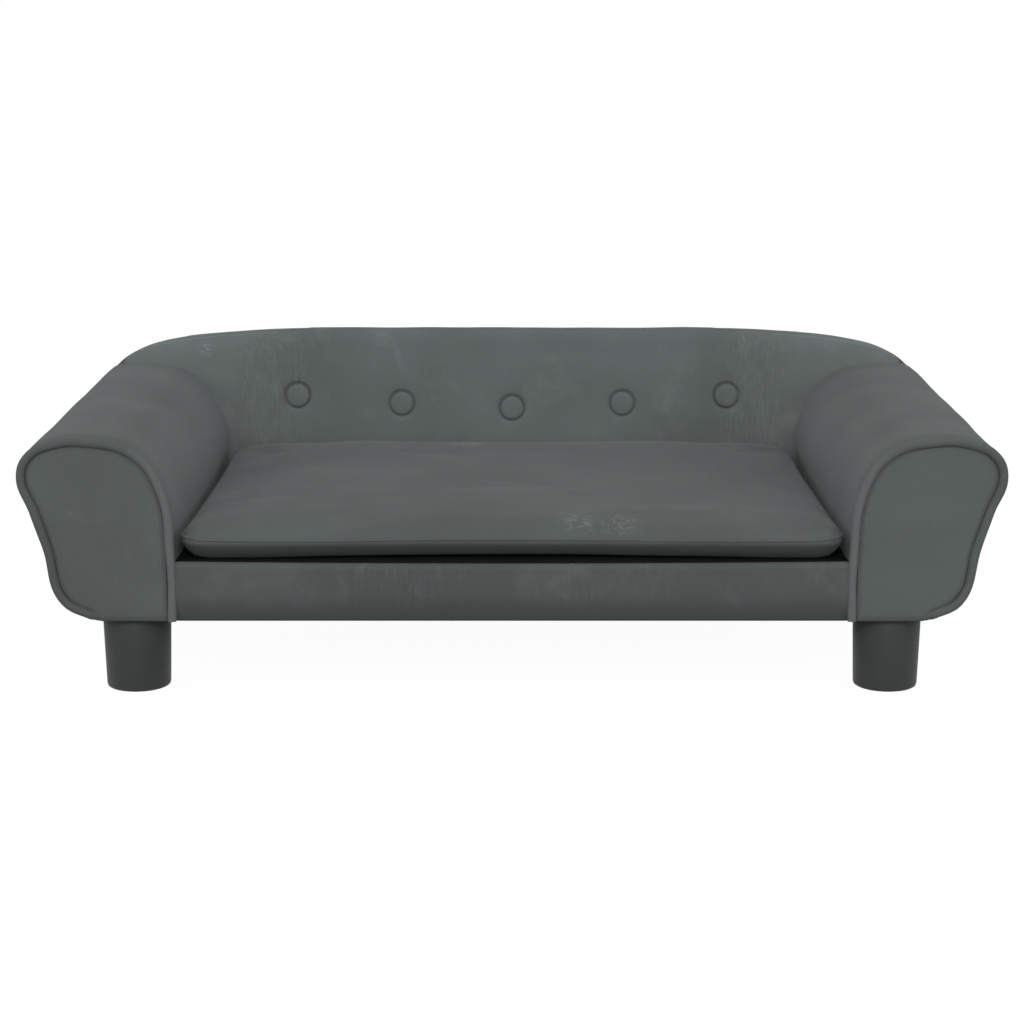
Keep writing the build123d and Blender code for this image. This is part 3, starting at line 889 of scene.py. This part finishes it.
def back_shell():
    """Velvet over the back board: its rim all round and its flat rear."""
    points = [shell_place(x, z) for x, z in reversed(back_outline)]
    bm = bmesh.new()
    bm.from_mesh(path_mesh(points, True, corners=(0, len(points) - 1)))
    bmesh.ops.remove_doubles(bm, verts=bm.verts, dist=0.1 * mm)
    bmesh.ops.contextual_create(bm, geom=bm.edges[:])
    bmesh.ops.translate(bm, verts=bm.verts, vec=(0, shell_front, 0))
    thicken(bm, shell_rear - shell_front)
    rims = [e for e in bm.edges if abs(e.verts[0].co.y - e.verts[1].co.y) < 0.1 * mm]
    rims = [e for e in rims if max(v.co.z for v in e.verts) > foot_level + 1 * mm]
    round_edges(bm, rims, shell_rounding, 3)
    piece = finish(bm, "back_shell", plain_velvet, "sofa", ["back_rear_cover"])
    return piece


shell = back_shell()
print("back shell:", len(shell.data.polygons), "faces")

# %% [markdown]
# ## Places of the buttons
#
# Five buttons are tied through the pad to the board. Each place is a share of the seat's width and
# of the back's height above the seat, so that it follows the sofa's size. The pad's lean gives how
# deep it lies. They come before the pad, because the pad is shaped round them.

# %% Buttons' places
button_shares = [
    (-0.757, 0.532),
    (-0.389, 0.476),
    (0.0, 0.444),
    (0.389, 0.476),
    (0.757, 0.532),
]
seat_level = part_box("deck_cloth")[1][2]
pad_foot = cad_high[1] - 52 * mm
crest_depth = 12.4 * mm
pad_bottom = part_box("seat_deck")[1][2]
recline = (board_front - crest_depth - pad_foot) / (back_top - pad_bottom)
corner_start = 255 * mm
corner_end = 345 * mm
corner_reach = 22 * mm


def pad_front(x, z):
    """How far back the pad's face lies at a place of the front view."""
    forward = corner_reach * ease(abs(x), corner_start, corner_end)
    return pad_foot + (z - pad_bottom) * recline - forward


button_places = []
for across, up in button_shares:
    x = across * arm_inner
    z = seat_level + up * (back_top - seat_level)
    button_places.append(Vector((x, pad_front(x, z), z)))
print("buttons at", [(round(p.x / mm), round(p.z / mm)) for p in button_places])

# %% [markdown]
# ## Stuffing by cloth simulation
#
# A stuffed piece starts as a closed shape a little smaller than it should be. The Remesh modifier
# turns its skin into even squares, a shaping function bends it, and Blender's cloth is then blown
# up from the inside with gravity off. Each point may move only a few millimetres, so the piece
# fills out without growing past its place.


# %% Stuffing helper
cloth_mass = 0.3
cloth_quality = 4
cloth_frames = 20


def stuffed(bm, square, shape, held, pressure, most):
    """Blow up a closed shape as cloth of these squares; returns the bmesh of its skin."""
    mesh = bpy.data.meshes.new("stuffing")
    bm.to_mesh(mesh)
    bm.free()
    holder = bpy.data.objects.new("stuffing", mesh)
    bpy.context.scene.collection.objects.link(holder)
    even = holder.modifiers.new("even", "REMESH")
    even.mode = "VOXEL"
    even.voxel_size = square
    holder.data = settled_mesh(holder)
    holder.modifiers.clear()
    for v in holder.data.vertices:
        v.co = shape(v.co)
    start = [v.co.copy() for v in holder.data.vertices]
    group = holder.vertex_groups.new(name="held")
    group.add([n for n, place in enumerate(start) if held(place)], 1.0, "REPLACE")
    cloth = holder.modifiers.new("cloth", "CLOTH")
    cloth.settings.vertex_group_mass = "held"
    cloth.settings.use_pressure = True
    cloth.settings.uniform_pressure_force = pressure
    cloth.settings.effector_weights.gravity = 0
    cloth.settings.mass = cloth_mass
    cloth.settings.quality = cloth_quality
    for step in range(1, cloth_frames + 1):
        bpy.context.scene.frame_set(step)
    holder.data = settled_mesh(holder)
    for v, place in zip(holder.data.vertices, start):
        moved = v.co - place
        if moved.length > most:
            v.co = place + moved * (most / moved.length)
    bpy.context.scene.frame_set(1)
    skin = bmesh.new()
    skin.from_mesh(holder.data)
    bpy.data.objects.remove(holder)
    return skin


print("cloth simulation:", "on")

# %% [markdown]
# ## Back pad
#
# The pad is a slab of foam under velvet that leans back, comes forward at both ends to meet the
# arms and rolls over at the crest. It could be sculpted by hand. A slab that is leaned and bent by
# a formula keeps its size, and the cloth simulation adds the fullness of the foam. The holes for
# the buttons are pressed in afterwards, because the simulation would fill them.

# %% Back pad
pad_half = 468 * mm
crest_roll = 12 * mm
pad_rear = cad_high[1] - 1.7 * mm
pad_square = 5 * mm
pad_pressure = 1.5
pad_swell = 2 * mm
outline_steps = 60
smoothing_steps = 8
hole_radius = 16 * mm
hole_depth = 3 * mm
dimple_depth = 0.7 * mm
crease_depth = 1.1 * mm


def crest_height(x):
    """Height of the back's outline above a place across."""
    x = min(abs(x), crest[-1][0])
    for (x0, z0), (x1, z1) in zip(crest, crest[1:]):
        if x <= x1:
            return z0 + (z1 - z0) * (x - x0) / (x1 - x0)
    return crest[-1][1]


def from_button(place):
    """Distance of a place of the front view from the nearest button."""
    return min(((place.x - b.x) ** 2 + (place.z - b.z) ** 2) ** 0.5 for b in button_places)


def round_over(gap, radius):
    """How far a rounded edge falls back at a distance from the edge."""
    if gap >= radius:
        return 0
    return radius - (radius ** 2 - (radius - max(gap, 0)) ** 2) ** 0.5


def lean_pad(place):
    """Lean the slab, bend its ends forward and round its crest."""
    x, y, z = place
    if y > board_front:
        return place + Vector((0, 0, -round_over(pad_rear - y, 4 * mm)))
    share = (board_front - y) / (board_front - pad_foot)
    face = pad_front(x, z)
    face += round_over(crest_height(x) - z, crest_roll) + round_over(pad_half - abs(x), crest_roll)
    face = min(face, board_front - 1 * mm)
    return Vector((x, board_front - share * (board_front - face), z))


def pad_is_held(place):
    """The pad is fixed along its rear and its bottom edge."""
    behind = place.y > board_front - 3 * mm
    return behind or place.z < pad_bottom + 10 * mm


def in_front(v, gap):
    """True for a point of the pad at least this far in front of the back board."""
    return v.co.y < board_front - gap


def sink_holes(bm):
    """Press a round hole with a soft dimple round it into the pad at each button."""
    around = []
    for edge in bm.edges:
        start = edge.verts[0]
        if from_button(start.co) < hole_radius + 7 * mm and in_front(start, 8 * mm):
            around.append(edge)
    bmesh.ops.subdivide_edges(bm, edges=around, cuts=2, use_grid_fill=True)
    for v in bm.verts:
        if in_front(v, 4 * mm):
            outside = from_button(v.co) - hole_radius
            v.co.y += hole_depth * (1 - ease(outside, -1.5 * mm, 1.5 * mm))
            v.co.y += dimple_depth * (1 - ease(outside, 0, 8 * mm))


def crease_corners(bm):
    """Draw upright creases where the pad bends forward to the arms."""
    for v in bm.verts:
        across = abs(v.co.x)
        crease = ease(across, 235 * mm, 270 * mm) * (1 - ease(across, 320 * mm, 350 * mm))
        drawn = noise.noise(Vector((v.co.x * 95, 0, v.co.z * 16)))
        v.co.y += crease_depth * crease * drawn * in_front(v, 4 * mm)


def back_pad():
    """Padded front of the back, blown up as cloth between its buttons."""
    outline = []
    for number in range(outline_steps + 1):
        x = pad_half * (1 - 2 * number / outline_steps)
        outline.append((x, crest_height(x) - 0.8 * mm))
    outline += [(-pad_half, pad_bottom), (pad_half, pad_bottom)]
    bm = bmesh.new()
    bm.faces.new([bm.verts.new((x, pad_rear, z)) for x, z in outline])
    thicken(bm, pad_foot - pad_rear)
    bm = stuffed(bm, pad_square, lean_pad, pad_is_held, pad_pressure, pad_swell)
    for step in range(smoothing_steps):
        loose = [v for v in bm.verts if in_front(v, 8 * mm) and v.co.z > pad_bottom + 12 * mm]
        bmesh.ops.smooth_vert(bm, verts=loose, factor=0.5, use_axis_y=True)
    sink_holes(bm)
    crease_corners(bm)
    uneven(bm, 60 * mm, 0.8 * mm, 9)
    piece = finish(bm, "back_pad", back_velvet, "sofa", ["back_cover", "back_foam"], levels=1)
    return piece


pad = back_pad()
print("back pad:", len(pad.data.polygons), "faces")

# %% [markdown]
# ## Covered buttons
#
# A covered button is a low dome with a tight rim. Its profile is a few points that are spun round
# the button's axis. Each button is then tilted like the pad and laid in its dimple, as deep as
# the pad's face lies in a ring round it.

# %% Buttons
button_profile = [
    (0, 1.5),
    (7, 1.4),
    (11, 1.0),
    (13.2, 0.2),
    (14.1, -1.2),
    (13.8, -3.4),
    (11, -5),
]
ring_inner = 20 * mm
ring_outer = 26 * mm


def spun(profile, steps):
    """Closed turned shape round Z from a profile of radius and height in mm."""
    bm = bmesh.new()
    verts = [bm.verts.new((r * mm, 0, z * mm)) for r, z in profile]
    edges = [bm.edges.new(pair) for pair in zip(verts, verts[1:])]
    bmesh.ops.spin(
        bm,
        geom=verts + edges,
        cent=(0, 0, 0),
        axis=(0, 0, 1),
        angle=2 * pi,
        steps=steps,
        use_merge=True,
    )
    bmesh.ops.remove_doubles(bm, verts=bm.verts, dist=0.01 * mm)
    bmesh.ops.holes_fill(bm, edges=[e for e in bm.edges if e.is_boundary], sides=0)
    bmesh.ops.recalc_face_normals(bm, faces=bm.faces)
    return bm


tilt = Matrix.Rotation(pi / 2 - atan(recline), 4, "X")
for number, place in enumerate(button_places):
    ring = []
    for v in pad.data.vertices:
        if ring_inner < (v.co.xz - place.xz).length < ring_outer and in_front(v, 4 * mm):
            ring.append(v.co.y)
    place.y = sum(ring) / len(ring)
    bm = spun(button_profile, 40)
    bmesh.ops.transform(bm, matrix=Matrix.Translation(place) @ tilt, verts=bm.verts)
    uneven(bm, 8 * mm, 0.15 * mm, number + 20)
    button = finish(bm, f"button_{number + 1}", back_velvet, "sofa", levels=1)
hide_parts("back_buttons")

# %% [markdown]
# ## Front rail
#
# The velvet of the front rail is pulled up from the underside over a thin pad, and rolls over the
# rail's top edge under the cushion. A bevelled box is its plain shape. It is cut into strips,
# because a box has too few points to swell and sag, and each point is then moved.


# %% Front rail
def block(low, high):
    """Box between two corners."""
    bm = bmesh.new()
    bmesh.ops.create_cube(bm, size=1)
    bmesh.ops.scale(bm, verts=bm.verts, vec=high - low)
    bmesh.ops.translate(bm, verts=bm.verts, vec=(high + low) / 2)
    return bm


def rounded_block(low, high, edge_test, radius, cuts, segments):
    """Box with chosen edges rounded, cut into so many strips along each axis."""
    low, high = Vector(low), Vector(high)
    bm = block(low, high)
    chosen = [e for e in bm.edges if edge_test((e.verts[0].co + e.verts[1].co) / 2)]
    round_edges(bm, chosen, radius, segments)
    for axis, count in enumerate(cuts):
        for step in range(1, count):
            place = low.copy()
            place[axis] += (high - low)[axis] * step / count
            normal = Vector((0, 0, 0))
            normal[axis] = 1
            geom = bm.verts[:] + bm.edges[:] + bm.faces[:]
            bmesh.ops.bisect_plane(bm, geom=geom, plane_co=place, plane_no=normal, dist=1e-5)
    return bm


rail_low, rail_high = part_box("front_rail_cover")
frame_front = front + 9 * mm
rail_roll = 6.2 * mm
rail_swell = 1.6 * mm
rail_turn_in = 4.5 * mm
rail_sag = 2.2 * mm


def front_rail():
    """Velvet over the front rail, tucked in below and sagging a little in the middle."""
    low = (rail_low[0] - 3 * mm, rail_low[1], rail_low[2] - under_wrap)
    high = (rail_high[0] + 3 * mm, frame_front + 1 * mm, rail_high[2])

    def top_front(place):
        return place.z > high[2] - 1 * mm and place.y < low[1] + 1 * mm

    bm = rounded_block(low, high, top_front, rail_roll, (110, 1, 10), 8)
    for v in bm.verts:
        from_edge = min(v.co.z - low[2], high[2] - v.co.z)
        if v.co.y < frame_front - 3 * mm:
            swell = ease(from_edge, 0, 25 * mm)
            v.co.y -= rail_swell * swell
            v.co.y += rail_turn_in * (1 - ease(v.co.z, low[2] - 12 * mm, low[2] + 34 * mm))
            v.co.y += 1.1 * mm * swell * noise.noise(Vector((v.co.x * 26, 3, v.co.z * 14)))
            v.co.y += 0.5 * mm * swell * noise.noise(Vector((v.co.x * 90, 8, v.co.z * 50)))
        top_side = ease(v.co.z, high[2] - 20 * mm, high[2])
        v.co.z -= rail_sag * top_side * (1 - (v.co.x / high[0]) ** 2)
    nodes = ["front_rail_cover", "rail_foam"]
    piece = finish(bm, "rail_velvet", rail_velvet, "sofa", nodes, levels=1)
    return piece


rail = front_rail()
print("rail:", len(rail.data.polygons), "faces")

# %% [markdown]
# ## Seat deck
#
# Behind the rail the deck is covered with black lining, because the cushion hides it. It is a thin
# pad, so the helper of the rail makes it too, with only its front edge rounded, where the lining
# is tucked down behind the velvet.

# %% Seat deck
deck_low, deck_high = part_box("deck_foam")
deck_roll = 2 * mm


def deck_pad():
    """Black lining over the seat deck, rounded only along its front edge."""
    low = (deck_low[0], frame_front + 1 * mm, deck_low[2])
    high = (deck_high[0], board_front - 4 * mm, seat_level)

    def front_edge(place):
        return place.z > high[2] - 1 * mm and abs(place.x) < 0.3 and place.y < low[1] + 1 * mm

    bm = rounded_block(low, high, front_edge, deck_roll, (36, 26, 1), 3)
    for v in bm.verts:
        if v.co.z > high[2] - 1 * mm:
            v.co.z += 0.5 * mm * noise.noise(v.co / (70 * mm)) - 0.4 * mm
    nodes = ["deck_cloth", "deck_foam"]
    piece = finish(bm, "seat_lining", deck_lining, "sofa", nodes)
    return piece


deck = deck_pad()
print("deck:", len(deck.data.polygons), "faces")

# %% [markdown]
# ## Seat cushion
#
# The loose cushion is thin, with a crowned top, a narrow border that turns in under it, round
# corners and sides that draw in between them. A bevelled box would look hard. It is stuffed like
# the back pad instead, from a slab in the cushion's plan.

# %% Cushion sizes
cushion_low, cushion_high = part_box("cushion_cover")
cushion_half = cushion_high[0]
cushion_middle = (cushion_low[1] + cushion_high[1]) / 2
cushion_reach = (cushion_high[1] - cushion_low[1]) / 2
cushion_edge = 20.5 * mm
cushion_crown = 22 * mm
cushion_tuck = 15 * mm
cushion_draw = 4.5 * mm
front_lift = 3.2 * mm
corner_lift = 5 * mm
rear_lift = 4 * mm
front_corner = 23 * mm
rear_corner = 44 * mm
cushion_square = 6 * mm
cushion_pressure = 3.0
cushion_swell = 3 * mm
welt_radius = 1.2 * mm
print("cushion", round(2 * cushion_half / mm), "by", round(2 * cushion_reach / mm), "mm")


# %% Cushion
def from_rim(x, y):
    """How far inside the cushion's round-cornered plan a place lies."""
    corner = front_corner if y < cushion_middle else rear_corner
    across = abs(x) - cushion_half + corner
    deep = abs(y - cushion_middle) - cushion_reach + corner
    outside = (max(across, 0) ** 2 + max(deep, 0) ** 2) ** 0.5
    return max(corner - outside - min(max(across, deep), 0), 0)


def shape_cushion(place):
    """Crown the slab's top, turn its border in and draw its sides in."""
    x, y, z = place
    across = x / cushion_half
    deep = (y - cushion_middle) / cushion_reach
    up = (z - cushion_low[2]) / cushion_edge
    inside = from_rim(x, y)
    rise = (28 - 14 * ease(deep, 0, 1)) * mm
    z += cushion_crown * (1 - 2.718 ** -((inside / rise) ** 0.8)) * max(up, 0)
    turned = cushion_tuck * max(1 - up / 0.95, 0) ** 1.5 * (1 - ease(inside, 0, 60 * mm))
    drawn = cushion_draw * (1 - across * across) * abs(deep) ** 5
    x -= turned * max(min(across * 1.1, 1), -1) * abs(across) ** 4
    y -= (turned * abs(deep) ** 4 + drawn) * (1 if deep > 0 else -1)
    z += front_lift * (1 - min(abs(across) / 0.75, 1) ** 2) * ease(-deep, 0.75, 1)
    z += corner_lift * ease(abs(across), 0.84, 1) * ease(-deep, 0.6, 1) * max(up, 0)
    z += rear_lift * ease(deep, -0.3, 0.8) * ease(inside, 0, rise)
    x *= 1.005 + 0.013 * ease(-deep, -0.7, 0.8)
    return Vector((x, y, z))


def cushion_is_held(place):
    """The cushion is fixed along its border and its underside."""
    below = place.z < cushion_low[2] + cushion_edge - 3 * mm
    return below or from_rim(place.x, place.y) < 9 * mm


def seat_cushion():
    """The cushion's skin, stuffed from a slab with round corners."""
    low = Vector((-cushion_half, cushion_low[1], cushion_low[2]))
    high = Vector((cushion_half, cushion_high[1], cushion_low[2] + cushion_edge))
    bm = block(low, high)
    for rim, radius in ((low.y, front_corner), (high.y, rear_corner)):
        corners = [e for e in bm.edges if e.verts[0].co.xy == e.verts[1].co.xy]
        corners = [e for e in corners if abs(e.verts[0].co.y - rim) < 0.1 * mm]
        round_edges(bm, corners, radius, 10)
    bm = stuffed(
        bm, cushion_square, shape_cushion, cushion_is_held, cushion_pressure, cushion_swell
    )
    uneven(bm, 110 * mm, 0.8 * mm, 31)
    for v in bm.verts:
        v.co.z = max(v.co.z, cushion_low[2])
    nodes = ["cushion_cover", "cushion_foam"]
    piece = finish(bm, "seat_cushion", seat_velvet, "cushion", nodes, levels=1)
    return piece


cushion = seat_cushion()
print("cushion:", len(cushion.data.polygons), "faces")

# %% [markdown]
# ## Seam welt
#
# Where the cushion's top meets its border, the seam stands up as a thin edge. A raised row of
# faces could show it, but the remeshed skin has no row along the seam. So it is a cord of its own,
# a curve through a few places of the plan. Each place is first laid on the finished skin, where a
# BVH tree finds the nearest spot, so that the cord floats nowhere.


# %% Seam welt
def cushion_welt():
    """Thin sewn edge along the top of the cushion's border."""
    corners = [
        (cushion_half - front_corner, -cushion_reach + front_corner, front_corner, -90),
        (cushion_half - rear_corner, cushion_reach - rear_corner, rear_corner, 0),
    ]
    right = [(x, -cushion_reach) for x in (0.1, 0.2)]
    for x, y, radius, start in corners:
        for step in range(7):
            angle = radians(start + 15 * step)
            right.append((x + radius * cos(angle), y + radius * sin(angle)))
        if start < 0:
            right += [(cushion_half, y) for y in (-0.1, 0.0, 0.1)]
    right += [(0.2, cushion_reach), (0.1, cushion_reach)]
    left = [(-x, y) for x, y in reversed(right)]
    outline = [(0, -cushion_reach)] + right + [(0, cushion_reach)] + left
    bpy.context.view_layer.update()
    skin = BVHTree.FromObject(cushion, bpy.context.evaluated_depsgraph_get())
    places = []
    for x, y in outline:
        edge = shape_cushion(Vector((x, y + cushion_middle, cushion_low[2] + cushion_edge)))
        places.append(skin.find_nearest(edge)[0])
    bm = bmesh.new()
    bm.from_mesh(curve_mesh(places, True, (), 12, welt_radius, 2))
    bmesh.ops.recalc_face_normals(bm, faces=bm.faces)
    return finish(bm, "cushion_welt", seat_velvet, "cushion")


welt = cushion_welt()
print("welt:", len(welt.data.polygons), "faces")

# %% [markdown]
# ## Legs
#
# The legs are round, taper slightly towards the floor and have a small rounded edge there. A cone
# with a bevel would do, but a few points of the profile, spun round the leg's axis, give the taper
# and both ends in one step.

# %% Legs
leg_profile = [
    (5, 79),
    (34.6, 79),
    (35.25, 78),
    (34.2, 40),
    (33.1, 3.5),
    (32.4, 1.1),
    (30.8, 0),
    (5, 0),
]
leg_places = [mount["pos_m"] for mount in frame["record"]["mounts"]]
for number, (x, y, _) in enumerate(leg_places):
    bm = spun(leg_profile, 64)
    bmesh.ops.translate(bm, verts=bm.verts, vec=(x, y, 0))
    leg = finish(bm, f"leg_{number + 1}", leg_finish, "sofa")
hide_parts("front_legs", "rear_legs")

# %% [markdown]
# ## Floor
#
# The photograph has a white background. A plain white floor would come out grey in the soft light.
# This one shines white to the camera, mixed with a little plain grey that still takes the sofa's
# shadow, and lights the sofa no more than a real floor would.


# %% Floor
def pale_floor():
    """White to the camera, with a share of plain grey that takes the shadow."""
    material = bpy.data.materials.new("pale_floor")
    material.use_nodes = True
    tree = material.node_tree
    plain = tree.nodes["Principled BSDF"]
    plain.inputs["Base Color"].default_value = (0.4, 0.4, 0.4, 1)
    plain.inputs["Roughness"].default_value = 0.9
    seen = Shade(tree, tree.nodes.new("ShaderNodeLightPath").outputs["Is Camera Ray"])
    glossy = Shade(tree, seen.socket.node.outputs["Is Glossy Ray"])
    clear = Shade(tree, seen.socket.node.outputs["Is Transmission Ray"])
    white = seen.node("ShaderNodeEmission", Color=(1, 1, 1, 1), Strength=1.2)
    mix = seen.node("ShaderNodeMixShader", i0=(seen + glossy + clear) * 0.8)
    tree.links.new(plain.outputs[0], mix.inputs[1])
    tree.links.new(white.outputs[0], mix.inputs[2])
    tree.links.new(mix.outputs[0], tree.nodes["Material Output"].inputs["Surface"])
    return material


floor_reach = 14
bm = bmesh.new()
bmesh.ops.create_grid(bm, x_segments=1, y_segments=1, size=floor_reach)
mesh = bpy.data.meshes.new("floor")
bm.to_mesh(mesh)
bm.free()
mesh.materials.append(pale_floor())
floor = bpy.data.objects.new("floor", mesh)
floor.location = (0, 0, -0.5 * mm)
bpy.context.scene.collection.objects.link(floor)
print("floor:", 2 * floor_reach, "m wide")

# %% [markdown]
# ## Light
#
# The photograph has soft light from above and in front. A single lamp would draw hard shadows, so
# large area lights and a pale sky share the work, and each colour renders about as it is written.

# %% Light
world = bpy.data.worlds.new("sky")
bpy.context.scene.world = world
world.use_nodes = True
sky_tree = world.node_tree
sky = sky_tree.nodes["Background"]
seen = Shade(sky_tree, sky_tree.nodes.new("ShaderNodeLightPath").outputs["Is Camera Ray"])
glossy = Shade(sky_tree, seen.socket.node.outputs["Is Glossy Ray"])
seen.feed(sky.inputs["Strength"], 0.5 + (seen + glossy * 0.3) * 0.5)
sky.inputs["Color"].default_value = (1, 1, 1, 1)


def soft_light(name, place, aim, size, power):
    """Rectangular area light that looks at a point."""
    data = bpy.data.lights.new(name, "AREA")
    data.shape = "RECTANGLE"
    data.size = size[0]
    data.size_y = size[1]
    data.energy = power
    lamp = bpy.data.objects.new(name, data)
    lamp.location = place
    lamp.rotation_euler = (Vector(aim) - Vector(place)).to_track_quat("-Z", "Y").to_euler()
    bpy.context.scene.collection.objects.link(lamp)
    return lamp


soft_light("top_light", (0, -0.6, 3.2), (0, 0, 0.15), (2.4, 1.8), 18)
soft_light("front_light", (0, -7.0, 3.4), (0, 0, 0.2), (5.0, 2.4), 230)
soft_light("left_light", (-3.2, -2.4, 1.6), (0, 0, 0.2), (1.6, 1.6), 24)
soft_light("right_light", (3.2, -2.4, 1.6), (0, 0, 0.2), (1.6, 1.6), 24)
